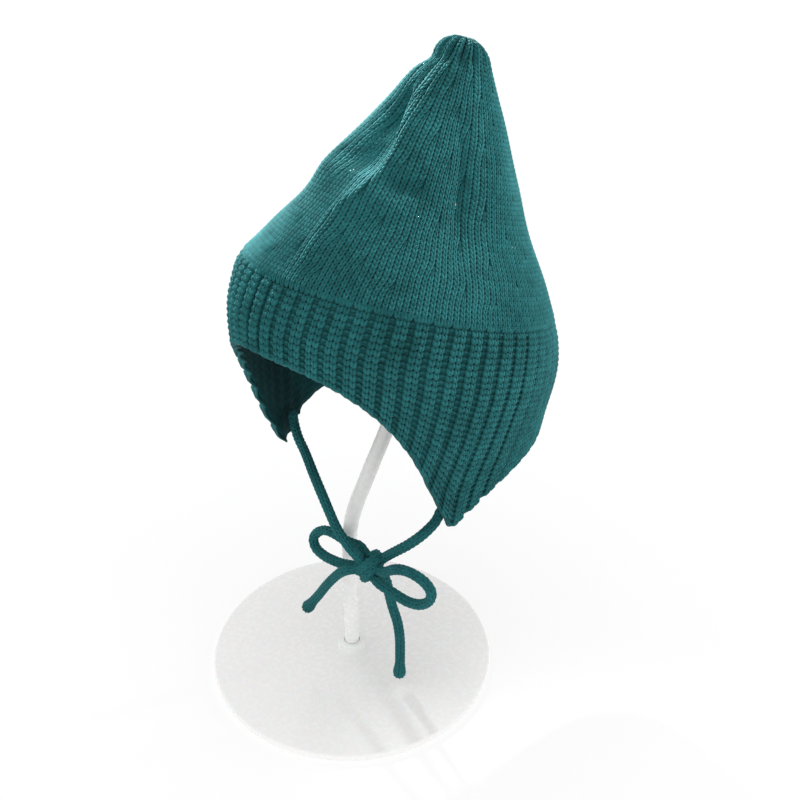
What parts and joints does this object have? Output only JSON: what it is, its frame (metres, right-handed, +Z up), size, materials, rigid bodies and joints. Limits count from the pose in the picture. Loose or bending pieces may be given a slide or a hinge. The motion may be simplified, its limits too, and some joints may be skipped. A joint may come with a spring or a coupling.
{
  "type": "knitted pixie bonnet on a plain display stand",
  "caption": "Knitted pixie bonnet with a pointed crown, ribbed band, ear flaps and cords tied in a bow, held up by a plain round-based stand.",
  "frame": {"origin": "middle of the stand base's underside, where it rests on a surface", "axes": "+Z up; the wearer faces -Y and the wearer's left is +X"},
  "size_m": [0.136, 0.1837, 0.2882],
  "materials": {
    "yarn": "knitted teal yarn",
    "stand_plastic": "glossy white"
  },
  "bodies": {
    "root": {"crown": "yarn", "rib_band": "yarn", "left_tie_run": "yarn", "left_tie_loop": "yarn", "left_tie_tail": "yarn", "right_tie_run": "yarn", "right_tie_loop": "yarn", "right_tie_tail": "yarn", "bow_knot": "yarn", "stand_base": "stand_plastic", "stand_post": "stand_plastic", "stand_rest": "stand_plastic"}
  },
  "joints": []
}
